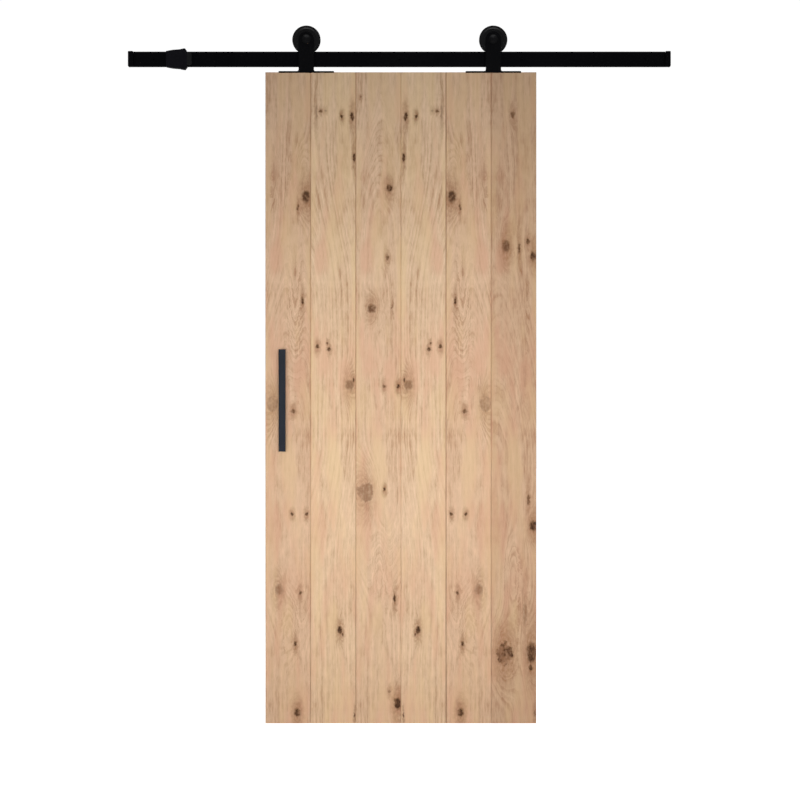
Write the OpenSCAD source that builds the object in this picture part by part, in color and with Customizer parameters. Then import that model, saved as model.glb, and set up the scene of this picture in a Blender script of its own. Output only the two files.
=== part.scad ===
// Top-hung sliding door of six upright boards on a flat wall rail.
// The origin is on the wall plane, behind the middle of the rail and at its centreline.
// +Z is up, +X runs along the rail, and the wall is at y = 0 with the room on its -Y side.

/* [Door] */
// Width of the door over all six boards
door_w = 880; // [800:10:960]
// Height of the boards
door_h = 2115; // [1950:5:2300]
// Thickness of the boards
board_t = 28; // [26:1:30]
// Gap between the bottom of the rail and the top of the boards
door_drop = 19.5; // [16:0.5:30]
// Distance of the door's centre from the middle of the rail, at rest
door_x = 5; // [-40:1:40]
// Depth of the V cut along each board edge, which makes half of a groove
seam_v = 2.4; // [1:0.2:4]
// Depth of the floor guide's groove in the bottom edge
guide_d = 20; // [15:1:30]
// Width of the floor guide's groove
guide_w = 8; // [6:1:9]

/* [Back ledges] */
// Height of each ledge
ledge_h = 120; // [90:5:150]
// Thickness of each ledge
ledge_t = 20; // [16:1:22]
// Distance from each door edge to the end of a ledge
ledge_inset = 30; // [15:5:60]
// Distance from the bottom of the door to the bottom ledge
ledge_foot = 150; // [80:10:250]

/* [Handle] */
// Length of the pull
handle_l = 331; // [260:1:420]
// Width of the pull
handle_w = 22.6; // [18:0.2:30]
// Distance from the door's left edge to the middle of the pull
handle_inset = 55.7; // [45:0.1:90]
// Height of the pull's middle above the bottom of the door
handle_up = 1049; // [900:1:1150]
// Distance from the door's face to the front of the pull
handle_out = 35; // [30:1:45]
// Height of each post behind the pull
post_h = 43; // [25:1:60]

/* [Rail] */
// Length of the steel bar
rail_l = 1750; // [1700:10:1900]
// Height of the bar
rail_h = 50; // [44:1:54]
// Thickness of the bar
rail_t = 8; // [7:0.5:8.5]
// Length of the spacers that hold the bar off the wall
spacer_l = 32; // [31:0.5:34]
// Distance between neighbouring wall screws
screw_pitch = 400; // [360:5:420]
// Length of each end cap
cap_l = 17; // [14:1:22]
// Distance that an end cap stands out past the bar
cap_over = 7; // [5:1:9]
// Distance from the middle of the rail to the tip of the left stop
stop_x = 675.2; // [640:0.2:690]

/* [Hangers] */
// Radius of the wheel over its flanges
flange_r = 46; // [43:0.5:48]
// Radius of the wheel's tread, which rolls on the bar
tread_r = 38.1; // [36:0.1:39]
// Distance from the door's left edge to the left hanger
hanger_inset_left = 132.6; // [110:0.2:160]
// Distance from the door's right edge to the right hanger
hanger_inset_right = 139.4; // [110:0.2:160]
// Width of the upright strap
strap_w = 50; // [44:1:56]
// Thickness of the upright strap
strap_t = 6; // [5:0.5:8]
// Length of the plate on top of the door
plate_l = 180; // [160:5:200]
// Thickness of the plate
plate_t = 6; // [5:0.5:8]

/* [Hidden] */
$fn = 64;

// Depths along Y, from the wall at 0 out to the room
rail_back = -spacer_l;
rail_front = rail_back - rail_t;
rail_mid = (rail_back + rail_front) / 2;
door_front = rail_front - 16;
door_back = door_front + board_t;
board_mid = (door_front + door_back) / 2;
ledge_back = door_back + ledge_t;
plate_depth = 40;

// Heights
door_top = -rail_h / 2 - door_drop;
door_bottom = door_top - door_h;
let_in = 2;
plate_bottom = door_top - let_in;
plate_top = plate_bottom + plate_t;
tread_gap = 0.3;
wheel_z = rail_h / 2 + tread_r + tread_gap;
ledge_zs = [
    door_top - ledge_h / 2,
    (door_top + door_bottom) / 2,
    door_bottom + ledge_foot + ledge_h / 2
];
handle_z = door_bottom + handle_up;

// Places along X
board_n = 6;
board_w = door_w / board_n;
door_left = door_x - door_w / 2;
door_right = door_x + door_w / 2;
hanger_left = door_left + hanger_inset_left;
hanger_right = door_right - hanger_inset_right;
handle_x = door_left + handle_inset;
wall_screw_xs = [for (i = [-2:2]) i * screw_pitch];
function board_left(i) = door_left + (i - 1) * board_w;
function board_x(i) = board_left(i) + board_w / 2;

// Clearances: a screw in its hole, and one edge rounding that the flat steel parts share
play = 0.1;
steel_round = 1.2;

// Boards and splines
arris = 1.2;
slot_w = 6;
slot_d = 10;
spline_w = 18;
spline_end = 5;

// Screws, by head radius, shank radius and length
wood_screw = [4.4, 2.2, 42];
hanger_screw = [5.5, 2.8, 55];
wall_screw_head_r = 8.8;
wall_shank_r = 3.5;
wall_thread_r = 4;
wall_hole_r = 4.5;
wall_grip = 60;
ledge_screw_dz = 34;
hanger_screw_spots = [[-74, 14], [74, 14], [-46, 34], [46, 34]];
bolt_r = 3;
bolt_head_r = 6;
bolt_head_h = 5;
small_screw_r = 2;
cap_screw_z = 12;
spacer_r = 12.5;
wall_socket_r = 3.4;

// Pull handle: thickness of the grip, and how much narrower its posts are
grip_t = 10;
post_inset = 1.5;

// Bearing, a common 10 x 30 x 9 mm ball bearing
axle_r = 5;
ring_half = 4.5;
inner_ring_r = 8.3;
outer_ring_r = 11.7;
bearing_r = 15;
pitch_r = 10;
ball_r = 2.38;
ball_n = 8;
race_r = 2.43;

// Wheel
wheel_half = 10;
hub_r = 20;
rim_r = 33;
shoulder_x = 33.6;
shoulder_r = 8;
web_dip = 3;
tip_r = 1.1;
groove_half = 4.8;
sleeve_r = 7.8;
washer_t = 2;
washer_r = 10.5;
nut_t = 8;
nut_r = 9.8;
washer_front = -22;
dome_r = 15.5;
dome_h = 9;

// Left stop
stop_l = 68;
stop_tip_l = 15;
stop_left = -stop_x - stop_tip_l - stop_l;
stop_front = rail_front - 14;
stop_back = rail_back + 8;
stop_screw_x = stop_left + 50;
stop_screw_z = rail_h / 2 + 3.8;

black = "#1c1c1e";
steel = "#8a8d91";
oak = ["#c9a688", "#d4b292", "#cfab8c", "#d4b192", "#cfab8c", "#bf9a7c"];

// A cylinder whose axis runs along Y, from y0 to y1
module rod_y(r, y0, y1) {
    translate([0, y0, 0]) rotate([-90, 0, 0]) cylinder(h = y1 - y0, r = r);
}

// A tube whose axis runs along Y
module tube_y(r_in, r_out, y0, y1) {
    difference() {
        rod_y(r_out, y0, y1);
        rod_y(r_in, y0 - 1, y1 + 1);
    }
}

// An outline in X and Z, extruded from y0 to y1
module slab_y(y0, y1) {
    translate([0, y1, 0]) rotate([90, 0, 0]) linear_extrude(y1 - y0) children();
}

// A rectangle with round corners, about its centre
module round_rect(w, h, r) {
    square([w - 2 * r, h], center = true);
    square([w, h - 2 * r], center = true);
    for (sx = [-1, 1], sy = [-1, 1])
        translate([sx * (w / 2 - r), sy * (h / 2 - r)]) circle(r = r);
}

// A countersunk screw along +Z with its head's top at z = 0; with some clearance it is the hole for one
module screw(size, clear = 0) {
    head_r = size[0];
    shank_r = size[1];
    length = size[2];
    point = 2 * shank_r;
    difference() {
        union() {
            cylinder(h = head_r - shank_r, r1 = head_r + clear, r2 = shank_r + clear);
            cylinder(h = length - point, r = shank_r + clear);
            translate([0, 0, length - point]) cylinder(h = point, r1 = shank_r + clear, r2 = 0.4 + clear);
            if (clear > 0) translate([0, 0, -1]) cylinder(h = 1, r = head_r + clear);
        }
        if (clear == 0) translate([0, 0, -1]) cylinder(h = 1 + shank_r, r = 0.45 * head_r, $fn = 6);
    }
}

// ---- Rail, fixed to the wall ----

module end_cap_screw_spots(side) {
    for (z = [-cap_screw_z, cap_screw_z])
        translate([side * (rail_l / 2 + cap_over - cap_l + 5), rail_back, z]) rotate([90, 0, 0]) children();
}

module rail_bar() {
    color(black)
    difference() {
        rotate([90, 0, 90]) translate([rail_mid, 0, -rail_l / 2])
            linear_extrude(rail_l) round_rect(rail_t, rail_h, steel_round);
        for (x = wall_screw_xs) translate([x, 0, 0]) {
            rod_y(wall_hole_r, rail_front - 1, rail_back + 1);
            translate([0, rail_front, 0]) rotate([-90, 0, 0])
                cylinder(h = 5.4, r1 = wall_screw_head_r + play, r2 = wall_shank_r + play);
        }
        for (side = [-1, 1]) end_cap_screw_spots(side) screw([4, small_screw_r, 30], play);
    }
}

// The cap closes the end of the bar and stands in front of it, where it stops the right-hand strap.
module end_cap(side) {
    mid_x = rail_l / 2 + cap_over - cap_l / 2;
    color(black)
    difference() {
        translate([side * mid_x, 0, 0]) slab_y(stop_front, rail_back) round_rect(cap_l, rail_h, 3);
        translate([side * (rail_l / 2 - 50), (rail_front + rail_back) / 2 + 5, 0])
            cube([100, rail_t + 10, rail_h + 10], center = true);
        end_cap_screw_spots(side) translate([0, 0, rail_t]) cylinder(h = 9, r = small_screw_r + play / 2);
    }
}

module end_cap_left() { end_cap(-1); }
module end_cap_right() { end_cap(1); }

module end_cap_screws() {
    color(steel)
    for (side = [-1, 1]) end_cap_screw_spots(side) screw([3.9, small_screw_r, 16]);
}

module wall_spacers() {
    color(black)
    for (x = wall_screw_xs) translate([x, 0, 0]) tube_y(wall_hole_r, spacer_r, rail_back, 0);
}

// Each screw has a smooth shank inside the rail and spacer, and its thread in the wall.
module wall_screw() {
    difference() {
        union() {
            translate([0, rail_front, 0]) rotate([-90, 0, 0])
                cylinder(h = wall_screw_head_r - wall_shank_r, r1 = wall_screw_head_r, r2 = wall_shank_r);
            rod_y(wall_shank_r, rail_front + 1, 1);
            rod_y(wall_thread_r, 0, wall_grip);
            translate([0, wall_grip, 0]) rotate([-90, 0, 0]) cylinder(h = 6, r1 = wall_thread_r, r2 = 0.8);
        }
        translate([0, rail_front - 1, 0]) rotate([-90, 0, 0]) cylinder(h = 4.5, r = wall_socket_r, $fn = 6);
    }
}

module wall_screws() {
    color(black)
    for (x = wall_screw_xs) translate([x, 0, 0]) wall_screw();
}

// Outline of both jaws: level with the rail at the outer end, flaring towards the bumper
module stop_outline() {
    h = rail_h / 2;
    translate([stop_left, 0])
        polygon([
            [0, h], [22, h + 4], [44, h + 5.5], [57, h + 8.5], [62, h + 8.5], [stop_l, h],
            [stop_l, -h], [62, -h - 8.5], [57, -h - 8.5], [44, -h - 5.5], [22, -h - 4], [0, -h]
        ]);
}

module stop_screw_spots() {
    for (z = [-stop_screw_z, stop_screw_z])
        translate([stop_screw_x, stop_back, z]) rotate([90, 0, 0]) children();
}

module stop_front_jaw() {
    color(black)
    difference() {
        slab_y(stop_front, rail_front) stop_outline();
        stop_screw_spots() cylinder(h = stop_back - stop_front - 6, r = small_screw_r + play / 2);
        translate([stop_left + stop_l - 9, (stop_front + rail_front) / 2, 0]) rotate([0, 90, 0])
            cylinder(h = 20, r = 3 + play / 2);
    }
}

module stop_rear_jaw() {
    color(black)
    difference() {
        slab_y(rail_back, stop_back) stop_outline();
        stop_screw_spots() screw([3.9, small_screw_r, 40], play);
    }
}

// Rubber nose with a stem pressed into the front jaw
module stop_bumper() {
    nose_h = 40;
    nose_w = stop_tip_l + 6;
    color("#111112") {
        slab_y(stop_front, rail_front - 2) intersection() {
            translate([-stop_x - nose_w / 2, 0]) round_rect(nose_w, nose_h, 6);
            translate([-stop_x - stop_tip_l, -nose_h]) square([stop_tip_l, 2 * nose_h]);
        }
        translate([stop_left + stop_l - 8, (stop_front + rail_front) / 2, 0]) rotate([0, 90, 0])
            cylinder(h = 10, r = 3);
    }
}

module stop_screws() {
    color(steel)
    stop_screw_spots() screw([3.8, small_screw_r, 23]);
}

// ---- Door leaf ----

// Section of one board: V cuts where it meets a neighbour, and slots for the loose splines
module board_section(i) {
    x0 = board_left(i);
    x1 = x0 + board_w;
    c0 = i == 1 ? arris : seam_v;
    c1 = i == board_n ? arris : seam_v;
    difference() {
        polygon([
            [x0 + c0, door_front], [x1 - c1, door_front], [x1, door_front + c1], [x1, door_back - c1],
            [x1 - c1, door_back], [x0 + c0, door_back], [x0, door_back - c0], [x0, door_front + c0]
        ]);
        if (i > 1) translate([x0, board_mid]) square([2 * slot_d, slot_w], center = true);
        if (i < board_n) translate([x1, board_mid]) square([2 * slot_d, slot_w], center = true);
    }
}

// The plates are let a little way into the top edge.
module plate_recesses() {
    for (x = [hanger_left, hanger_right])
        translate([x - plate_l / 2, door_front - 1, plate_bottom]) cube([plate_l, plate_depth + 1, 20]);
}

module ledge_screw_spots(xs, zs) {
    for (x = xs, z = zs, side = [-1, 1])
        translate([x, ledge_back, z + side * ledge_screw_dz]) rotate([90, 0, 0]) children();
}

module hanger_screw_spots_at(x) {
    for (spot = hanger_screw_spots)
        translate([x + spot[0], door_front + spot[1], plate_top]) rotate([180, 0, 0]) children();
}

module handle_bolt_spots() {
    for (side = [-1, 1])
        translate([handle_x, door_back, handle_z + side * (handle_l - post_h) / 2]) rotate([90, 0, 0]) children();
}

module board(i) {
    color(oak[i - 1])
    difference() {
        translate([0, 0, door_bottom]) linear_extrude(door_h) board_section(i);
        plate_recesses();
        translate([board_left(i) - 1, board_mid - guide_w / 2, door_bottom - 1])
            cube([board_w + 2, guide_w, guide_d + 1]);
        ledge_screw_spots([board_x(i)], ledge_zs) screw(wood_screw, play);
        if (i <= 2) hanger_screw_spots_at(hanger_left) screw(hanger_screw, play);
        if (i >= board_n - 1) hanger_screw_spots_at(hanger_right) screw(hanger_screw, play);
        if (i == 1) handle_bolt_spots() translate([0, 0, -1]) cylinder(h = board_t + 2, r = bolt_r + play);
        if (i == 1) handle_bolt_spots() translate([0, 0, -1]) cylinder(h = 1 + bolt_head_h, r = bolt_head_r + play);
    }
}

module board_1() { board(1); }
module board_2() { board(2); }
module board_3() { board(3); }
module board_4() { board(4); }
module board_5() { board(5); }
module board_6() { board(6); }

// A loose spline lies in the slots of two neighbouring boards.
module spline(i) {
    z0 = door_bottom + guide_d + spline_end;
    z1 = plate_bottom - spline_end;
    color("#b58f6d")
    translate([board_left(i + 1) - spline_w / 2, board_mid - slot_w / 2, z0])
        cube([spline_w, slot_w, z1 - z0]);
}

module spline_1() { spline(1); }
module spline_2() { spline(2); }
module spline_3() { spline(3); }
module spline_4() { spline(4); }
module spline_5() { spline(5); }

// A ledge crosses all the boards at the back; its outer edges are chamfered.
module ledge(z) {
    c = 4;
    h = ledge_h / 2;
    l = door_w - 2 * ledge_inset;
    color("#c39d7b")
    difference() {
        translate([door_left + ledge_inset, 0, z]) rotate([90, 0, 90]) linear_extrude(l)
            polygon([
                [door_back, -h], [ledge_back - c, -h], [ledge_back, -h + c],
                [ledge_back, h - c], [ledge_back - c, h], [door_back, h]
            ]);
        plate_recesses();
        ledge_screw_spots([for (i = [1:board_n]) board_x(i)], [z]) screw(wood_screw, play);
        for (x = [hanger_left, hanger_right]) hanger_screw_spots_at(x) screw(hanger_screw, play);
    }
}

module ledge_top() { ledge(ledge_zs[0]); }
module ledge_middle() { ledge(ledge_zs[1]); }
module ledge_bottom() { ledge(ledge_zs[2]); }

module ledge_screws() {
    color(steel)
    ledge_screw_spots([for (i = [1:board_n]) board_x(i)], ledge_zs) screw(wood_screw);
}

// ---- Pull handle ----

module handle_grip() {
    color("#2a2e33")
    difference() {
        translate([handle_x, door_front - handle_out + grip_t / 2, handle_z - handle_l / 2])
            linear_extrude(handle_l) round_rect(handle_w, grip_t, 3);
        handle_bolt_spots() cylinder(h = board_t + handle_out - 4, r = bolt_r + play / 2);
    }
}

module handle_post(side) {
    color("#2a2e33")
    difference() {
        translate([handle_x, 0, handle_z + side * (handle_l - post_h) / 2])
            slab_y(door_front - handle_out + grip_t, door_front)
                round_rect(handle_w - 2 * post_inset, post_h, 4);
        handle_bolt_spots() cylinder(h = board_t + handle_out, r = bolt_r + play);
    }
}

module handle_post_top() { handle_post(1); }
module handle_post_bottom() { handle_post(-1); }

module handle_bolts() {
    color(black)
    handle_bolt_spots() difference() {
        union() {
            cylinder(h = bolt_head_h, r = bolt_head_r);
            cylinder(h = board_t + handle_out - 6, r = bolt_r);
        }
        translate([0, 0, -1]) cylinder(h = 4, r = 2.6, $fn = 6);
    }
}

// ---- Hangers ----

module hanger_plate(x) {
    color(black)
    difference() {
        translate([x, door_front + plate_depth / 2, plate_bottom]) linear_extrude(plate_t)
            round_rect(plate_l, plate_depth, 3);
        hanger_screw_spots_at(x) screw(hanger_screw, play);
    }
}

module hanger_plate_left() { hanger_plate(hanger_left); }
module hanger_plate_right() { hanger_plate(hanger_right); }

// Upright strap with a round head over the axle and small fillets where it is welded to the plate
module hanger_strap(x) {
    fillet = 5;
    half = strap_w / 2;
    color(black)
    difference() {
        translate([x, 0, 0]) slab_y(door_front, door_front + strap_t) {
            translate([-half, plate_top]) square([strap_w, wheel_z - plate_top]);
            translate([0, wheel_z]) circle(r = half);
            difference() {
                translate([-half - fillet, plate_top]) square([strap_w + 2 * fillet, fillet]);
                for (side = [-1, 1])
                    translate([side * (half + fillet), plate_top + fillet]) circle(r = fillet);
            }
        }
        translate([x, 0, wheel_z]) rod_y(axle_r + play, door_front - 1, door_front + strap_t + 1);
    }
}

module hanger_strap_left() { hanger_strap(hanger_left); }
module hanger_strap_right() { hanger_strap(hanger_right); }

module hanger_screws() {
    color(steel)
    for (x = [hanger_left, hanger_right]) hanger_screw_spots_at(x) screw(hanger_screw);
}

// Moves a shape drawn round the Y axis to a wheel's axle
module at_axle(x) {
    translate([x, 0, wheel_z]) children();
}

// Bolt with a domed head against the front of the strap
module axle_bolt(x) {
    cap_r = (dome_r * dome_r + dome_h * dome_h) / (2 * dome_h);
    color(black)
    at_axle(x) {
        translate([0, door_front, 0]) rotate([90, 0, 0]) rotate_extrude() intersection() {
            translate([0, dome_h - cap_r]) circle(r = cap_r, $fn = 128);
            square([dome_r, dome_h]);
        }
        rod_y(axle_r, door_front - 1, washer_front + washer_t + nut_t + 2);
    }
}

module axle_bolt_left() { axle_bolt(hanger_left); }
module axle_bolt_right() { axle_bolt(hanger_right); }

// The sleeves hold the bearing's inner ring between the strap and the washer.
module axle_sleeves(x) {
    color(steel)
    at_axle(x) {
        tube_y(axle_r + play, sleeve_r, door_front + strap_t, rail_mid - ring_half);
        tube_y(axle_r + play, sleeve_r, rail_mid + ring_half, washer_front);
    }
}

module axle_sleeves_left() { axle_sleeves(hanger_left); }
module axle_sleeves_right() { axle_sleeves(hanger_right); }

module axle_washer(x) {
    color(steel)
    at_axle(x) tube_y(axle_r + play, washer_r, washer_front, washer_front + washer_t);
}

module axle_washer_left() { axle_washer(hanger_left); }
module axle_washer_right() { axle_washer(hanger_right); }

module axle_nut(x) {
    color(black)
    at_axle(x) translate([0, washer_front + washer_t, 0]) rotate([-90, 0, 0]) difference() {
        cylinder(h = nut_t, r = nut_r, $fn = 6);
        translate([0, 0, -1]) cylinder(h = nut_t + 2, r = axle_r + play / 2);
    }
}

module axle_nut_left() { axle_nut(hanger_left); }
module axle_nut_right() { axle_nut(hanger_right); }

// ---- Ball bearings ----

// Turns a half section, drawn with its radius along x and its depth along y, round the axle
module turned(x) {
    at_axle(x) translate([0, rail_mid, 0]) rotate([-90, 0, 0]) rotate_extrude() children();
}

module ring_section(r_in, r_out) {
    difference() {
        translate([r_in, -ring_half]) square([r_out - r_in, 2 * ring_half]);
        translate([pitch_r, 0]) circle(r = race_r);
    }
}

module bearing_inner(x) {
    color(steel)
    turned(x) ring_section(axle_r + play / 2, inner_ring_r);
}

module bearing_inner_left() { bearing_inner(hanger_left); }
module bearing_inner_right() { bearing_inner(hanger_right); }

module bearing_outer(x) {
    color(steel)
    turned(x) ring_section(outer_ring_r, bearing_r);
}

module bearing_outer_left() { bearing_outer(hanger_left); }
module bearing_outer_right() { bearing_outer(hanger_right); }

module bearing_shields(x) {
    color("#5d6064")
    turned(x) for (y = [-4.3, 3.8])
        translate([inner_ring_r + 0.3, y]) square([outer_ring_r - inner_ring_r - 0.3, 0.5]);
}

module bearing_shields_left() { bearing_shields(hanger_left); }
module bearing_shields_right() { bearing_shields(hanger_right); }

// Repeats a shape drawn on the +X side of the axle once for each ball
module at_balls(x) {
    at_axle(x) for (i = [0:ball_n - 1])
        rotate([0, i * 360 / ball_n, 0]) translate([0, rail_mid, 0]) children();
}

module bearing_balls(x) {
    color("#c9ccd0")
    at_balls(x) translate([pitch_r, 0, 0]) sphere(r = ball_r, $fn = 32);
}

module bearing_balls_left() { bearing_balls(hanger_left); }
module bearing_balls_right() { bearing_balls(hanger_right); }

// The cage is a thin ring with a radial hole round each ball.
module bearing_cage(x) {
    color("#d8cfae")
    difference() {
        turned(x) translate([pitch_r - 0.8, -3.2]) square([1.6, 6.4]);
        at_balls(x) translate([pitch_r - 3, 0, 0]) rotate([0, 90, 0]) cylinder(h = 6, r = ball_r + 0.06);
    }
}

module bearing_cage_left() { bearing_cage(hanger_left); }
module bearing_cage_right() { bearing_cage(hanger_right); }

// ---- Wheels ----

// Round shoulder on one face of the wheel, at an angle from the face's direction
function shoulder(side, angle) =
    [shoulder_x + shoulder_r * sin(angle), side * (wheel_half - shoulder_r * (1 - cos(angle)))];

// Half section of the wheel: hub, thinner web, and two flanges that fall over a shoulder to round tips
module wheel_section() {
    tip_x = flange_r - tip_r;
    tip_y = groove_half + 2;
    difference() {
        union() {
            polygon(concat(
                [[sleeve_r + 2, -wheel_half]],
                [for (angle = [0:8:40]) shoulder(-1, angle)],
                [[tip_x, -tip_y - tip_r], [tip_x, -tip_y + tip_r], [tread_r, -groove_half]],
                [[tread_r, groove_half], [tip_x, tip_y - tip_r], [tip_x, tip_y + tip_r]],
                [for (angle = [40:-8:0]) shoulder(1, angle)],
                [[sleeve_r + 2, wheel_half]]
            ));
            for (side = [-1, 1]) translate([tip_x, side * tip_y]) circle(r = tip_r);
        }
        for (y = [-wheel_half, wheel_half - web_dip])
            translate([hub_r, y]) square([rim_r - hub_r, web_dip]);
        translate([0, -ring_half]) square([bearing_r, wheel_half + ring_half + 1]);
    }
}

module wheel_left() { color(black) turned(hanger_left) wheel_section(); }
module wheel_right() { color(black) turned(hanger_right) wheel_section(); }

rail_bar();
end_cap_left();
end_cap_right();
end_cap_screws();
wall_spacers();
wall_screws();
stop_front_jaw();
stop_rear_jaw();
stop_bumper();
stop_screws();
board_1();
board_2();
board_3();
board_4();
board_5();
board_6();
spline_1();
spline_2();
spline_3();
spline_4();
spline_5();
ledge_top();
ledge_middle();
ledge_bottom();
ledge_screws();
handle_grip();
handle_post_top();
handle_post_bottom();
handle_bolts();
hanger_plate_left();
hanger_plate_right();
hanger_strap_left();
hanger_strap_right();
hanger_screws();
axle_bolt_left();
axle_bolt_right();
axle_sleeves_left();
axle_sleeves_right();
axle_washer_left();
axle_washer_right();
axle_nut_left();
axle_nut_right();
bearing_inner_left();
bearing_inner_right();
wheel_left();
wheel_right();
bearing_outer_left();
bearing_outer_right();
bearing_shields_left();
bearing_shields_right();
bearing_balls_left();
bearing_balls_right();
bearing_cage_left();
bearing_cage_right();
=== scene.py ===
"""Looks of the top-hung board door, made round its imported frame.

Everything is in metres, in the frame's own axes: +Z up, +X along the rail, the wall at y = 0 and the
room on the -Y side. Materials, small edge roundings, the floor, the lights and the camera are made here.
"""
import math

import bpy
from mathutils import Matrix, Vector


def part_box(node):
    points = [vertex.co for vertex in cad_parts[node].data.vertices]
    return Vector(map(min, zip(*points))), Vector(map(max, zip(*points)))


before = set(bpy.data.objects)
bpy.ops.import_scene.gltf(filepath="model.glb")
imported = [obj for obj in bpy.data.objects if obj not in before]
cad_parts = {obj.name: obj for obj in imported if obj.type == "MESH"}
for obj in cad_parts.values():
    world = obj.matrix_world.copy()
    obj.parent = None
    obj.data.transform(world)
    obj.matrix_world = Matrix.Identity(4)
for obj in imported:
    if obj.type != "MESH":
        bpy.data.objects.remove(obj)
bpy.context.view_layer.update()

# ---- Places taken from the frame ----

BOARDS = [f"board_{i}" for i in range(1, 7)]
LEDGES = ["ledge_top", "ledge_middle", "ledge_bottom"]
DOOR_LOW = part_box("board_1")[0]
DOOR_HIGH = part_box("board_6")[1]
DOOR_FRONT = DOOR_LOW.y
DOOR_HEIGHT = DOOR_HIGH.z - DOOR_LOW.z
BOARD_WIDTH = (DOOR_HIGH.x - DOOR_LOW.x) / len(BOARDS)
BOARD_MIDDLE_Y = (DOOR_LOW.y + DOOR_HIGH.y) / 2
# Air between the door and the floor
FLOOR_GAP = 0.012


# ---- Node helpers ----

def srgb(red, green, blue):
    """A colour given in 0-255 display values, as linear light with alpha."""
    shares = [c / 255 for c in (red, green, blue)]
    linear = [s / 12.92 if s <= 0.04045 else ((s + 0.055) / 1.055) ** 2.4 for s in shares]
    return (*linear, 1.0)


class Tree:
    """Makes nodes in short calls. An input is a number, a vector, a colour or another node's output."""

    def __init__(self, tree):
        self.tree = tree

    def node(self, kind, inputs=None, **settings):
        made = self.tree.nodes.new(kind)
        for name, value in settings.items():
            setattr(made, name, value)
        for key, value in (inputs or {}).items():
            self.put(made.inputs[key], value)
        return made

    def put(self, socket, value):
        if isinstance(value, bpy.types.NodeSocket):
            self.tree.links.new(value, socket)
        elif value is not None:
            socket.default_value = value

    def math(self, operation, a, b=None, c=None):
        return self.node("ShaderNodeMath", {0: a, 1: b, 2: c}, operation=operation).outputs[0]

    def vector(self, operation, a, b=None):
        made = self.node("ShaderNodeVectorMath", {0: a, 1: b}, operation=operation)
        return made.outputs["Value" if operation == "LENGTH" else "Vector"]

    def noise(self, vector, scale=1.0, detail=2.0, roughness=0.5):
        inputs = {"Vector": vector, "Scale": scale, "Detail": detail, "Roughness": roughness}
        return self.node("ShaderNodeTexNoise", inputs).outputs["Fac"]

    def noise_along(self, value, detail=2.0, roughness=0.5):
        """Noise that changes with one number only."""
        inputs = {"W": value, "Scale": 1.0, "Detail": detail, "Roughness": roughness}
        return self.node("ShaderNodeTexNoise", inputs, noise_dimensions="1D").outputs["Fac"]

    def fade(self, value, start, end, low=0.0, high=1.0):
        """A smooth step from low at start to high at end."""
        inputs = {"Value": value, "From Min": start, "From Max": end, "To Min": low, "To Max": high}
        return self.node("ShaderNodeMapRange", inputs, interpolation_type="SMOOTHSTEP").outputs["Result"]

    def mix(self, factor, a, b, blend="MIX"):
        inputs = {0: factor, 6: a, 7: b}
        return self.node("ShaderNodeMix", inputs, data_type="RGBA", blend_type=blend).outputs[2]

    def ramp(self, factor, stops):
        made = self.node("ShaderNodeValToRGB", {0: factor})
        elements = made.color_ramp.elements
        for element, (place, colour) in zip(elements, (stops[0], stops[-1])):
            element.position = place
            element.color = colour
        for place, colour in stops[1:-1]:
            elements.new(place).color = colour
        return made.outputs["Color"]


def new_material(name, **shader):
    """A material with a Principled shader whose constant values are set on its own sockets."""
    material = bpy.data.materials.new(name)
    material.use_nodes = True
    tree = Tree(material.node_tree)
    principled = material.node_tree.nodes["Principled BSDF"]
    for key, value in shader.items():
        principled.inputs[key.replace("_", " ")].default_value = value
    return material, tree, principled


def new_group(name, inputs, outputs):
    """An empty node group with its sockets, its tree and its input and output nodes."""
    group = bpy.data.node_groups.new(name, "ShaderNodeTree")
    kinds = {"v": "NodeSocketVector", "f": "NodeSocketFloat", "c": "NodeSocketColor"}
    for direction, sockets in (("INPUT", inputs), ("OUTPUT", outputs)):
        for socket, kind in sockets.items():
            group.interface.new_socket(socket, in_out=direction, socket_type=kinds[kind])
    tree = Tree(group)
    return group, tree, tree.node("NodeGroupInput").outputs, tree.node("NodeGroupOutput").inputs


def bump(tree, principled, height, strength, distance):
    inputs = {"Height": height, "Strength": strength, "Distance": distance}
    tree.put(principled.inputs["Normal"], tree.node("ShaderNodeBump", inputs).outputs["Normal"])


def shade(colour, share):
    """A colour made darker or lighter by a share."""
    return (*(c * share for c in colour[:3]), 1.0)


# ---- Oak ----

# Distances between the growth rings and between the broader waves of colour
RING_PITCH = 0.0034
WAVE_PITCH = 0.0088
# Where plain grain lies on the ramp from dark to light
MIDDLE_TONE = 0.56
GRAIN_LIGHT = srgb(232, 199, 166)
GRAIN_MIDDLE = srgb(212, 178, 146)
GRAIN_DARK = srgb(176, 129, 95)
PINK = srgb(216, 168, 138)
STRAW = srgb(222, 190, 148)
KNOT_HALO = srgb(151, 103, 68)
KNOT_CORE = srgb(110, 73, 48)
KNOT_CRACK = srgb(56, 36, 22)
# Painted shade for the V grooves between the boards
GROOVE_SHADE_PAINT = srgb(108, 62, 34)


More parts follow.
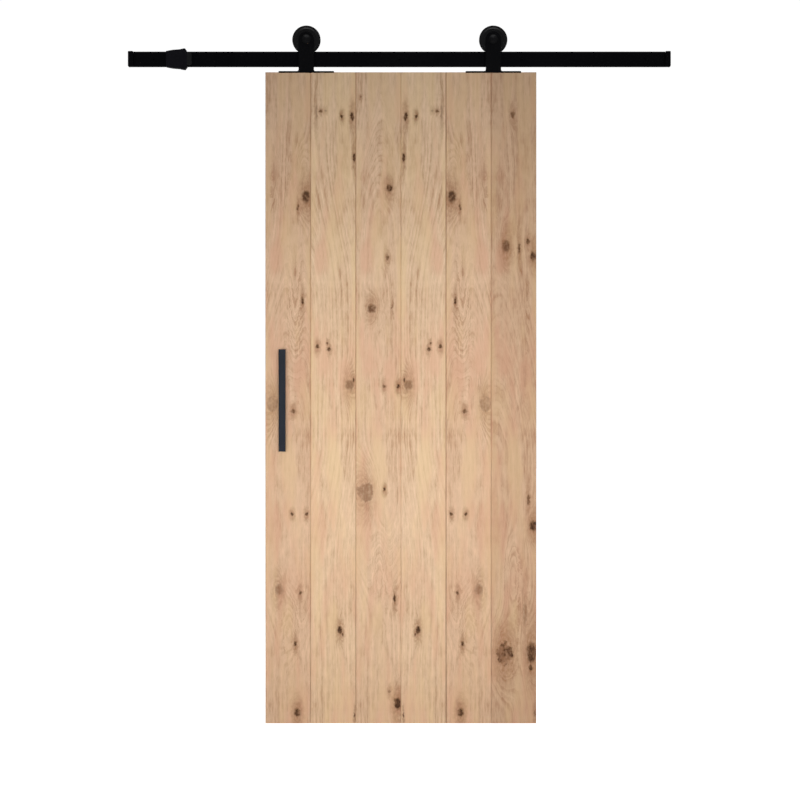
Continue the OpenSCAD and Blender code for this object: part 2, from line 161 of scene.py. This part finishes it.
def knot_group():
    """One knot: adds to the masks of its dark core and brown halo, and pushes the growth rings aside."""
    group, tree, given, result = new_group(
        "knot",
        {
            "Vector": "v", "Middle": "v", "Half": "v", "Dark": "f", "Bend": "f",
            "Push": "f", "Core": "f", "Halo": "f",
        },
        {"Push": "f", "Core": "f", "Halo": "f"},
    )
    away = tree.vector("SUBTRACT", given["Vector"], given["Middle"])
    away = tree.vector("DIVIDE", away, given["Half"])
    width = tree.node("ShaderNodeSeparateXYZ", {0: given["Half"]}).outputs["X"]
    large = tree.fade(width, 0.011, 0.020)
    bend = tree.math("MULTIPLY_ADD", tree.math("MULTIPLY", given["Bend"], large), 1.6, 1.0)
    reach = tree.math("MULTIPLY", tree.vector("LENGTH", away), bend)
    tail = tree.vector("LENGTH", tree.vector("MULTIPLY", away, (0.8, 0.0, 0.38)))
    outer = tree.math("MULTIPLY_ADD", large, -0.25, 1.4)
    inner = tree.math("MULTIPLY_ADD", large, 0.30, 0.6)
    core = tree.math("MULTIPLY", tree.fade(reach, outer, inner), given["Dark"])
    paler = tree.math("MULTIPLY", tree.fade(given["Bend"], -0.12, 0.10, 0.0, -0.4), large)
    core = tree.math("MULTIPLY", core, tree.math("ADD", paler, 1.0))
    halo_end = tree.math("MULTIPLY_ADD", large, -0.5, 2.4)
    halo = tree.math("MULTIPLY", tree.fade(tail, halo_end, 0.3), tree.math("POWER", given["Dark"], 0.6))
    bell = tree.math("EXPONENT", tree.math("MULTIPLY", tree.math("MULTIPLY", tail, tail), -0.55))
    push = tree.math("MULTIPLY", tree.math("MULTIPLY", bell, width), 3.4)
    tree.put(result["Push"], tree.math("ADD", given["Push"], push))
    tree.put(result["Core"], tree.math("MAXIMUM", given["Core"], core))
    tree.put(result["Halo"], tree.math("MAXIMUM", given["Halo"], halo))
    return group


def oak_group():
    """Solid oak round a pith behind the board's face: rings, fibres along Z, pores and knots."""
    group, tree, given, result = new_group(
        "oak",
        {"Vector": "v", "Pith": "v", "Lift": "f", "Push": "f", "Core": "f", "Halo": "f", "Tint": "c"},
        {"Color": "c", "Roughness": "f", "Height": "f"},
    )
    place = given["Vector"]

    def stretched(across, along, detail=2.0, roughness=0.5):
        return tree.noise(tree.vector("MULTIPLY", place, (across, across, along)), 1.0, detail, roughness)

    def around_zero(value, size):
        return tree.math("MULTIPLY", tree.math("SUBTRACT", value, 0.5), size)

    flat = tree.vector("MULTIPLY", tree.vector("SUBTRACT", place, given["Pith"]), (1.0, 1.0, 0.0))
    field = tree.vector("LENGTH", flat)
    field = tree.math("ADD", field, given["Lift"])
    field = tree.math("ADD", field, around_zero(stretched(5.0, 1.1, 1.0), 0.034))
    field = tree.math("ADD", field, around_zero(stretched(38.0, 8.0), 0.008))
    field = tree.math("ADD", field, given["Push"])

    bands = tree.noise_along(tree.math("MULTIPLY", field, 120.0), 3.0, 0.6)
    turns = tree.math("MULTIPLY_ADD", field, 2 * math.pi / WAVE_PITCH, around_zero(bands, 5.0))
    waves = tree.math("MULTIPLY_ADD", tree.math("SINE", turns), 0.5, 0.5)
    figure = tree.fade(stretched(9.0, 2.2), 0.42, 0.62, 0.03, 0.14)
    figure = tree.math("ADD", figure, tree.fade(given["Push"], 0.002, 0.02, 0.0, 0.15))
    waves = tree.math("MULTIPLY", around_zero(waves, 1.0), figure)
    phase = tree.math("FRACT", tree.math("DIVIDE", field, RING_PITCH))
    patchy = tree.fade(stretched(14.0, 2.0), 0.35, 0.65, 0.2, 1.0)
    early = tree.math("MULTIPLY", tree.fade(phase, 0.5, 0.0), patchy)
    fibres = stretched(430.0, 26.0, 3.0, 0.6)
    streaks = stretched(95.0, 5.0, 2.0, 0.55)
    flecks = stretched(70.0, 24.0, 2.0, 0.6)
    clouds = stretched(13.0, 4.0, 2.0, 0.6)
    dashes = tree.noise(tree.vector("MULTIPLY", place, (1500.0, 1500.0, 55.0)), 1.0, 1.0)
    pores = tree.math("MULTIPLY", tree.fade(dashes, 0.56, 0.66), tree.math("MULTIPLY_ADD", early, 0.7, 0.3))

    tone = MIDDLE_TONE
    shares = (
        (bands, 0.52), (fibres, 0.80), (streaks, 0.40),
        (flecks, 0.62), (clouds, 0.80), (dashes, 0.80),
    )
    for share, size in shares:
        tone = tree.math("ADD", tone, around_zero(share, size))
    tone = tree.math("ADD", tone, waves)
    tone = tree.math("MULTIPLY_ADD", early, -0.12, tone)
    tone = tree.math("MULTIPLY_ADD", pores, -0.45, tone)
    colour = tree.ramp(tone, [(0.08, GRAIN_DARK), (0.5, GRAIN_MIDDLE), (0.95, GRAIN_LIGHT)])
    colour = tree.mix(tree.fade(stretched(26.0, 5.0), 0.45, 0.70, 0.0, 0.6), colour, PINK)
    shifted = tree.vector("ADD", place, (3.0, 5.0, 7.0))
    straw_patches = tree.noise(tree.vector("MULTIPLY", shifted, (22.0, 22.0, 4.0)), 1.0, 2.0)
    colour = tree.mix(tree.fade(straw_patches, 0.45, 0.70, 0.0, 0.6), colour, STRAW)
    colour = tree.mix(1.0, colour, given["Tint"], "MULTIPLY")

    mottle = tree.noise(tree.vector("MULTIPLY", place, (125.0, 125.0, 80.0)), 1.0, 3.0, 0.6)
    halo = tree.math("MULTIPLY", given["Halo"], tree.fade(mottle, 0.25, 0.7, 0.35, 0.8))
    core = tree.math("MULTIPLY", given["Core"], tree.fade(mottle, 0.2, 0.55, 0.65, 1.0))
    darkest = tree.fade(given["Core"], 0.6, 0.95)
    crack = tree.math("MULTIPLY", darkest, tree.fade(mottle, 0.35, 0.65, 0.1, 0.9))
    colour = tree.mix(halo, colour, KNOT_HALO)
    colour = tree.mix(core, colour, KNOT_CORE)
    colour = tree.mix(crack, colour, KNOT_CRACK)
    tree.put(result["Color"], colour)

    tree.put(result["Roughness"], tree.math("MULTIPLY_ADD", fibres, 0.22, 0.46))
    relief = tree.math("MULTIPLY_ADD", pores, -0.9, around_zero(fibres, 0.7))
    relief = tree.math("MULTIPLY_ADD", early, -0.35, relief)
    tree.put(result["Height"], tree.math("MULTIPLY_ADD", crack, -1.6, relief))
    return group


# Knots of a board as (across from its middle, up from its bottom, half width, half height, darkness).
# With no darkness it is only a swirl in the rings. Boards 1 and 5 are sawn as mirror images of each
# other, and so are boards 2 and 4.
KNOTS_A = [
    (0.059, 1.713, 0.013, 0.020, 0.85), (0.033, 1.677, 0.003, 0.011, 0.80),
    (-0.044, 1.788, 0.008, 0.026, 0.07), (0.047, 1.374, 0.004, 0.012, 1.00),
    (-0.052, 1.041, 0.017, 0.024, 0.38), (0.017, 1.016, 0.006, 0.007, 0.75),
    (0.014, 0.681, 0.005, 0.005, 0.90), (0.060, 0.681, 0.005, 0.006, 1.00),
    (-0.029, 0.437, 0.012, 0.017, 0.45), (0.040, 0.425, 0.005, 0.008, 0.85),
    (0.024, 0.261, 0.005, 0.009, 1.00), (0.030, 0.036, 0.010, 0.014, 0.90),
    (0.023, 1.330, 0.012, 0.050, 0.0), (0.048, 1.790, 0.014, 0.026, 0.0),
    (0.006, 0.330, 0.014, 0.030, 0.0),
]
KNOTS_B = [
    (-0.041, 1.990, 0.004, 0.004, 0.70), (-0.055, 1.985, 0.004, 0.022, 0.35),
    (-0.025, 1.992, 0.004, 0.004, 0.40), (0.028, 1.973, 0.005, 0.006, 1.00),
    (0.062, 1.972, 0.006, 0.014, 0.95), (0.068, 1.839, 0.004, 0.014, 1.00),
    (-0.051, 1.226, 0.006, 0.007, 0.85), (-0.018, 1.235, 0.003, 0.004, 0.75),
    (-0.013, 1.216, 0.005, 0.006, 0.85), (0.053, 1.100, 0.012, 0.016, 0.60),
    (0.066, 1.116, 0.004, 0.008, 0.80), (0.022, 0.303, 0.007, 0.012, 1.00),
    (0.031, 0.290, 0.004, 0.005, 1.00), (0.069, 0.028, 0.002, 0.009, 0.90),
]
KNOTS_C = [
    (-0.056, 2.036, 0.003, 0.003, 0.60), (0.036, 1.741, 0.010, 0.012, 0.95),
    (0.030, 1.515, 0.005, 0.008, 0.78), (-0.021, 1.349, 0.013, 0.014, 0.75),
    (0.045, 1.354, 0.003, 0.008, 0.60), (0.018, 1.096, 0.005, 0.006, 0.85),
    (0.065, 1.096, 0.006, 0.007, 1.00), (-0.044, 0.751, 0.024, 0.027, 0.50),
    (0.021, 0.761, 0.005, 0.006, 0.90), (0.053, 0.407, 0.004, 0.013, 1.00),
    (0.062, 0.066, 0.010, 0.018, 1.00), (0.036, 0.105, 0.005, 0.006, 0.50),
    (0.004, 0.520, 0.014, 0.032, 0.0),
]
KNOTS_D = [
    (-0.003, 1.978, 0.007, 0.010, 0.70), (-0.025, 1.551, 0.012, 0.020, 0.75),
    (0.018, 1.546, 0.004, 0.017, 0.80), (0.046, 1.567, 0.006, 0.009, 0.80),
    (0.063, 1.520, 0.009, 0.016, 0.90), (0.035, 1.128, 0.005, 0.030, 0.08),
    (0.041, 1.391, 0.004, 0.020, 0.08), (0.047, 0.728, 0.005, 0.018, 0.75),
    (0.064, 0.643, 0.013, 0.017, 1.00), (-0.030, 0.228, 0.025, 0.033, 0.90),
    (0.058, 0.232, 0.015, 0.034, 0.92), (0.054, 0.182, 0.006, 0.010, 1.00),
    (0.068, 0.036, 0.004, 0.010, 0.70), (0.037, 0.358, 0.006, 0.035, 0.35),
    (-0.006, 0.480, 0.016, 0.036, 0.0),
]

# Where the painted shade of a V groove is full and where it has faded, from the board's edge
GROOVE_ROOT = 0.0006
GROOVE_BRIM = 0.0026

# Painted shade in the V groove on a board's left and right, standing in for the shade that falls into the
# groove
GROOVE_SHADE_AMOUNTS = [(0.0, 0.26), (0.26, 0.26), (0.26, 0.05), (0.05, 0.42), (0.42, 0.14), (0.14, 0.0)]

# Stretches of a board where the rings run out in arches, as (start, end, rise).
# A negative rise points down.
ARCHES_A = [(0.95, 1.62, 0.110), (0.20, 0.48, -0.050)]
ARCHES_B = [(1.40, 1.85, 0.045), (0.50, 0.95, -0.050)]
ARCHES_C = [(0.32, 0.74, -0.090), (1.60, 2.05, 0.045)]
ARCHES_D = [(0.85, 1.50, 0.080)]

# A mirrored board's grain lies this far beside the true mirror image
MIRROR_SHIFT = 0.0043
# The grain of every board starts this far below its bottom end
GRAIN_DROP = 0.0013

# Each board: its knots, its arches, -1 where it is mirrored, how far its pith lies beside and behind the
# board's middle, and its tint as a share of each colour
BOARD_LOOKS = [
    (KNOTS_A, ARCHES_A, 1, (0.022, 0.030), (0.965, 0.94, 0.935)),
    (KNOTS_B, ARCHES_B, 1, (-0.110, 0.060), (1.045, 1.065, 1.05)),
    (KNOTS_C, ARCHES_C, 1, (0.008, 0.040), (1.0, 1.0, 1.0)),
    (KNOTS_B, ARCHES_B, -1, (-0.110, 0.060), (1.04, 1.06, 1.055)),
    (KNOTS_A, ARCHES_A, -1, (0.022, 0.030), (0.987, 0.965, 0.96)),
    (KNOTS_D, ARCHES_D, 1, (-0.060, 0.070), (0.85, 0.81, 0.79)),
]


def paint_groove_shade(tree, across, height, colour, grooves):
    """Paints shade into a board's colour in the V grooves at its two edges, by an amount that changes up the
    board.
    """
    root = BOARD_WIDTH / 2 - GROOVE_ROOT
    brim = BOARD_WIDTH / 2 - GROOVE_BRIM
    left = tree.fade(across, -root, -brim, grooves[0], 0.0)
    right = tree.fade(across, brim, root, 0.0, grooves[1])
    amount = tree.fade(tree.noise_along(tree.math("MULTIPLY", height, 4.0)), 0.3, 0.7, 0.55, 1.0)
    return tree.mix(tree.math("MULTIPLY", tree.math("ADD", left, right), amount), colour, GROOVE_SHADE_PAINT)


def wood_material(
    name, groups, start, knots=(), arches=(), mirror=1,
    pith=(0.0, 0.05), tint=(1, 1, 1), turn=0.0, grooves=None,
):
    """Oak whose grain starts at a point and runs up the Z axis, or along X if it is turned by a quarter."""
    knot, oak = groups
    material, tree, principled = new_material(name, Specular_IOR_Level=0.25)
    place = tree.node("ShaderNodeTexCoord").outputs["Object"]
    place = tree.vector("SUBTRACT", place, start)
    sideways, _, height = tree.node("ShaderNodeSeparateXYZ", {0: place}).outputs
    if mirror < 0:
        place = tree.vector("SUBTRACT", place, (MIRROR_SHIFT, 0.0, 0.0))
        place = tree.vector("MULTIPLY", place, (-1.0, 1.0, 1.0))
    if turn:
        turned = tree.node("ShaderNodeMapping", {"Vector": place, "Rotation": (0.0, turn, 0.0)})
        place = turned.outputs["Vector"]
    ripples = tree.node("ShaderNodeTexNoise", {"Vector": place, "Scale": 95.0, "Detail": 2.0})
    wobble = tree.vector("SUBTRACT", ripples.outputs["Color"], (0.5, 0.5, 0.5))
    near = tree.vector("ADD", place, tree.vector("MULTIPLY", wobble, (0.010, 0.0, 0.014)))
    bend = tree.math("SUBTRACT", tree.noise(place, 38.0, 3.0), 0.5)
    push = core = halo = 0.0
    for beside, up, half_width, half_height, dark in knots:
        inputs = {
            "Vector": near, "Middle": (beside, 0.0, up), "Half": (half_width, 1.0, half_height),
            "Dark": dark, "Bend": bend, "Push": push, "Core": core, "Halo": halo,
        }
        made = tree.node("ShaderNodeGroup", node_tree=knot)
        for key, value in inputs.items():
            tree.put(made.inputs[key], value)
        push, core, halo = (made.outputs[key] for key in ("Push", "Core", "Halo"))
    lift = tree.math("MULTIPLY", tree.node("ShaderNodeSeparateXYZ", {0: place}).outputs["Z"], 0.014)
    for first, last, rise in arches:
        lift = tree.math("ADD", lift, tree.fade(height, first, last, 0.0, rise))
    made = tree.node("ShaderNodeGroup", node_tree=oak)
    inputs = {
        "Vector": place, "Pith": (*pith, 0.0), "Lift": lift, "Push": push, "Core": core, "Halo": halo,
        "Tint": (*tint, 1.0),
    }
    for key, value in inputs.items():
        tree.put(made.inputs[key], value)
    colour = made.outputs["Color"]
    if grooves:
        # Painted shade in the V grooves at the board's edges
        colour = paint_groove_shade(tree, sideways, height, colour, grooves)
    tree.put(principled.inputs["Base Color"], colour)
    tree.put(principled.inputs["Roughness"], made.outputs["Roughness"])
    bump(tree, principled, made.outputs["Height"], strength=0.35, distance=0.0007)
    return material


# ---- Metals, rubber and nylon ----

def coated_material(name, colour, roughness, grain, specular):
    """Powder-coated steel: a fine pebbled skin and small changes in gloss and shade."""
    material, tree, principled = new_material(name, Specular_IOR_Level=specular)
    place = tree.node("ShaderNodeTexCoord").outputs["Object"]
    cloud = tree.noise(place, 14.0, 3.0)
    tree.put(principled.inputs["Base Color"], tree.mix(cloud, shade(colour, 0.8), shade(colour, 1.25)))
    tree.put(principled.inputs["Roughness"], tree.fade(cloud, 0.3, 0.7, roughness - 0.05, roughness + 0.05))
    pebbles = tree.noise(place, 1900.0, 2.0, 0.6)
    bump(tree, principled, pebbles, strength=grain, distance=0.00012)
    return material


def turned_material(name, colour, roughness, specular):
    """Coated steel turned on a lathe, with faint rings round the middle of the piece's XZ box."""
    material, tree, principled = new_material(name, Specular_IOR_Level=specular)
    coordinates = tree.node("ShaderNodeTexCoord").outputs
    away = tree.vector("SUBTRACT", coordinates["Generated"], (0.5, 0.5, 0.5))
    away = tree.vector("MULTIPLY", away, (1, 0, 1))
    rings = tree.noise_along(tree.math("MULTIPLY", tree.vector("LENGTH", away), 260.0), 2.0, 0.7)
    cloud = tree.noise(coordinates["Object"], 30.0, 3.0)
    tree.put(principled.inputs["Base Color"], tree.mix(cloud, shade(colour, 0.8), shade(colour, 1.3)))
    tree.put(principled.inputs["Roughness"], tree.fade(rings, 0.3, 0.7, roughness - 0.06, roughness + 0.06))
    bump(tree, principled, rings, strength=0.12, distance=0.0001)
    return material


def bare_metal_material(name, colour, roughness, scratch):
    """Plated or ground steel, with a cloudy gloss and fine scratches."""
    material, tree, principled = new_material(name, Metallic=1.0)
    place = tree.node("ShaderNodeTexCoord").outputs["Object"]
    cloud = tree.noise(place, 90.0, 3.0)
    tree.put(principled.inputs["Base Color"], tree.mix(cloud, shade(colour, 0.82), colour))
    gloss = tree.fade(cloud, 0.25, 0.75, roughness * 0.75, roughness * 1.25)
    tree.put(principled.inputs["Roughness"], gloss)
    lines = tree.noise(tree.vector("MULTIPLY", place, (2600.0, 240.0, 2600.0)), 1.0, 2.0)
    bump(tree, principled, lines, strength=scratch, distance=0.00005)
    return material


def moulded_material(name, colour, roughness, grain):
    """Rubber or nylon with a dull, slightly uneven moulded skin."""
    material, tree, principled = new_material(name, Specular_IOR_Level=0.3)
    place = tree.node("ShaderNodeTexCoord").outputs["Object"]
    cloud = tree.noise(place, 120.0, 3.0)
    tree.put(principled.inputs["Base Color"], tree.mix(cloud, shade(colour, 0.75), colour))
    tree.put(principled.inputs["Roughness"], tree.fade(cloud, 0.3, 0.7, roughness - 0.06, roughness + 0.06))
    bump(tree, principled, tree.noise(place, 1400.0, 3.0), strength=grain, distance=0.0001)
    return material


def paint(nodes, material):
    for name in nodes:
        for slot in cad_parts[name].material_slots:
            slot.material = material


def sides(*stems):
    return [f"{stem}_{side}" for stem in stems for side in ("left", "right")]


def dress_wood():
    groups = (knot_group(), oak_group())
    for i, (board, looks) in enumerate(zip(BOARDS, BOARD_LOOKS)):
        middle = DOOR_LOW.x + (i + 0.5) * BOARD_WIDTH
        start = (middle, BOARD_MIDDLE_Y, DOOR_LOW.z - GRAIN_DROP)
        material = wood_material(f"oak_{board}", groups, start, *looks, grooves=GROOVE_SHADE_AMOUNTS[i])
        paint([board], material)
    for i, ledge in enumerate(LEDGES):
        low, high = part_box(ledge)
        start = ((low.x + high.x) / 2 + i, low.y, (low.z + high.z) / 2)
        tint = (0.93 + 0.03 * i,) * 3
        pith = (0.02 * i - 0.02, -0.06)
        material = wood_material(f"oak_{ledge}", groups, start, pith=pith, tint=tint, turn=math.pi / 2)
        paint([ledge], material)
    start = (0.0, BOARD_MIDDLE_Y, DOOR_LOW.z)
    splines = wood_material("oak_splines", groups, start, tint=(0.9, 0.9, 0.9))
    paint([f"spline_{i}" for i in range(1, len(BOARDS))], splines)


def dress_hardware():
    black = coated_material("black_coat", srgb(6, 6, 9), roughness=0.48, grain=0.10, specular=0.09)
    strap = coated_material("black_strap_coat", srgb(11, 11, 13), roughness=0.48, grain=0.10, specular=0.09)
    cast = coated_material("black_cast_coat", srgb(20, 19, 24), roughness=0.52, grain=0.16, specular=0.12)
    satin = coated_material("satin_black", srgb(14, 14, 16), roughness=0.46, grain=0.05, specular=0.26)
    pull = coated_material("blue_black_satin", srgb(34, 38, 46), roughness=0.40, grain=0.06, specular=0.3)
    wheel = turned_material("turned_black", srgb(12, 12, 14), roughness=0.38, specular=0.5)
    zinc = bare_metal_material("zinc", srgb(190, 194, 198), roughness=0.34, scratch=0.25)
    bearing = bare_metal_material("bearing_steel", srgb(216, 218, 222), roughness=0.14, scratch=0.08)
    rubber = moulded_material("rubber", srgb(26, 26, 27), roughness=0.72, grain=0.25)
    nylon = moulded_material("nylon", srgb(226, 216, 186), roughness=0.5, grain=0.1)
    paint(["rail_bar", "wall_spacers", "wall_screws"] + sides("end_cap", "hanger_plate"), black)
    paint(["stop_front_jaw", "stop_rear_jaw"], cast)
    paint(sides("hanger_strap"), strap)
    paint(["handle_bolts"] + sides("axle_bolt", "axle_nut"), satin)
    paint(["handle_grip", "handle_post_top", "handle_post_bottom"], pull)
    paint(sides("wheel"), wheel)
    paint(["end_cap_screws", "stop_screws", "ledge_screws", "hanger_screws"], zinc)
    paint(sides("axle_sleeves", "axle_washer", "bearing_shields"), zinc)
    paint(sides("bearing_inner", "bearing_outer", "bearing_balls"), bearing)
    paint(sides("bearing_cage"), nylon)
    paint(["stop_bumper"], rubber)


# ---- Small roundings on the flat pieces' edges ----

SHARP_ANGLE = math.radians(38)
WOOD_EDGE = 0.0007
PULL_EDGE = 0.0008
PLATE_EDGE = 0.0006


def round_edges(nodes, width, segments=2):
    """Welds the mesh's split corners and rounds its sharp edges. The corners move by less than the width."""
    for name in nodes:
        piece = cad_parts[name]
        weld = piece.modifiers.new("weld", "WELD")
        weld.merge_threshold = 1e-6
        bevel = piece.modifiers.new("bevel", "BEVEL")
        bevel.width = width
        bevel.segments = segments
        bevel.limit_method = "ANGLE"
        bevel.angle_limit = SHARP_ANGLE
        piece.modifiers.new("normals", "WEIGHTED_NORMAL").keep_sharp = True


# ---- Stage, lights and camera ----

# Strengths with which the floor and the surround light the door, and with which the surround is seen
FLOOR_LIGHT = 0.05
SURROUND_LIGHT = 0.15
SURROUND_SEEN = 1.02

# Heights of the two softboxes as shares of the door's height, and the colour of the upper one
KEY_HEIGHT = 0.18
FILL_HEIGHT = 0.58
COOL_LIGHT = (0.98, 1.01, 1.045)


def make_stage():
    """A plain pale floor under the door, and an evenly bright surround."""
    bpy.ops.mesh.primitive_plane_add(size=60, location=(0, 0, DOOR_LOW.z - FLOOR_GAP))
    floor = bpy.context.object
    floor.name = "floor"
    material, tree, principled = new_material("pale_floor", Roughness=0.9, Specular_IOR_Level=0.0)
    principled.inputs["Base Color"].default_value = srgb(214, 214, 214)
    principled.inputs["Emission Color"].default_value = (1, 1, 1, 1)
    seen = tree.node("ShaderNodeLightPath").outputs["Is Camera Ray"]
    tree.put(principled.inputs["Emission Strength"], tree.fade(seen, 0.0, 1.0, FLOOR_LIGHT, 1.0))
    floor.data.materials.append(material)

    world = bpy.data.worlds.new("surround")
    bpy.context.scene.world = world
    world.use_nodes = True
    tree = Tree(world.node_tree)
    seen = tree.node("ShaderNodeLightPath").outputs["Is Camera Ray"]
    background = world.node_tree.nodes["Background"]
    tree.put(background.inputs["Color"], (1, 1, 1, 1))
    tree.put(background.inputs["Strength"], tree.fade(seen, 0.0, 1.0, SURROUND_LIGHT, SURROUND_SEEN))


def softbox(name, place, target, size, power, spread):
    """A rectangular light that faces its target and isn't seen itself."""
    data = bpy.data.lights.new(name, "AREA")
    data.shape = "RECTANGLE"
    data.size, data.size_y = size
    data.energy = power
    data.spread = math.radians(spread)
    light = bpy.data.objects.new(name, data)
    bpy.context.scene.collection.objects.link(light)
    light.location = place
    light.rotation_euler = (Vector(target) - Vector(place)).to_track_quat("-Z", "Y").to_euler()
    light.visible_camera = False
    return light


def make_lights():
    """Two polarised softboxes before the door, one low and one near its middle, a light above it, one
    behind it, and a strip that only gloss shows."""
    low = DOOR_LOW.z + KEY_HEIGHT * DOOR_HEIGHT
    middle = DOOR_LOW.z + FILL_HEIGHT * DOOR_HEIGHT
    rail = (0.0, DOOR_FRONT, 0.0)
    wide = {"size": (2.8, 1.4), "spread": 38}
    key = softbox("key", (-1.0, -6.2, low), (-0.1, DOOR_FRONT, low), power=15.2, **wide)
    fill = softbox("fill", (1.2, -6.2, middle), (0.1, DOOR_FRONT, middle), power=10.8, **wide)
    fill.data.color = COOL_LIGHT
    for light in (key, fill):
        light.visible_glossy = False
    softbox("top", (0.0, -0.4, 2.3), rail, size=(3.0, 0.5), power=6, spread=120)
    shine = softbox("shine", (0.0, -2.2, 3.2), rail, size=(2.4, 0.8), power=1.2, spread=40)
    shine.visible_diffuse = False
    softbox("back", (0.0, 3.5, 1.2), (0.0, 0.0, -1.0), size=(3.0, 2.0), power=60, spread=140)


CAMERA_DISTANCE = 8.0
CAMERA_ACROSS = 0.0022
CAMERA_HEIGHT = -1.109
SENSOR_WIDTH = 36
# Width of the picture at the door's face
SEEN_WIDTH = 2.5984


def make_camera():
    """A long lens square to the door's face, level with its middle."""
    data = bpy.data.cameras.new("camera")
    data.sensor_width = SENSOR_WIDTH
    data.lens = SENSOR_WIDTH * CAMERA_DISTANCE / SEEN_WIDTH
    data.clip_end = 200
    camera = bpy.data.objects.new("camera", data)
    bpy.context.scene.collection.objects.link(camera)
    camera.location = (CAMERA_ACROSS, DOOR_FRONT - CAMERA_DISTANCE, CAMERA_HEIGHT)
    camera.rotation_euler = (math.pi / 2, 0, 0)
    bpy.context.scene.camera = camera


make_camera()
dress_wood()
dress_hardware()
round_edges(BOARDS + LEDGES, WOOD_EDGE)
round_edges(["handle_grip", "handle_post_top", "handle_post_bottom"], PULL_EDGE, 3)
round_edges(["stop_front_jaw", "stop_rear_jaw", "stop_bumper"], PLATE_EDGE)
round_edges(sides("end_cap", "hanger_plate", "hanger_strap"), PLATE_EDGE)
make_stage()
make_lights()
bpy.context.scene.view_settings.view_transform = "Standard"
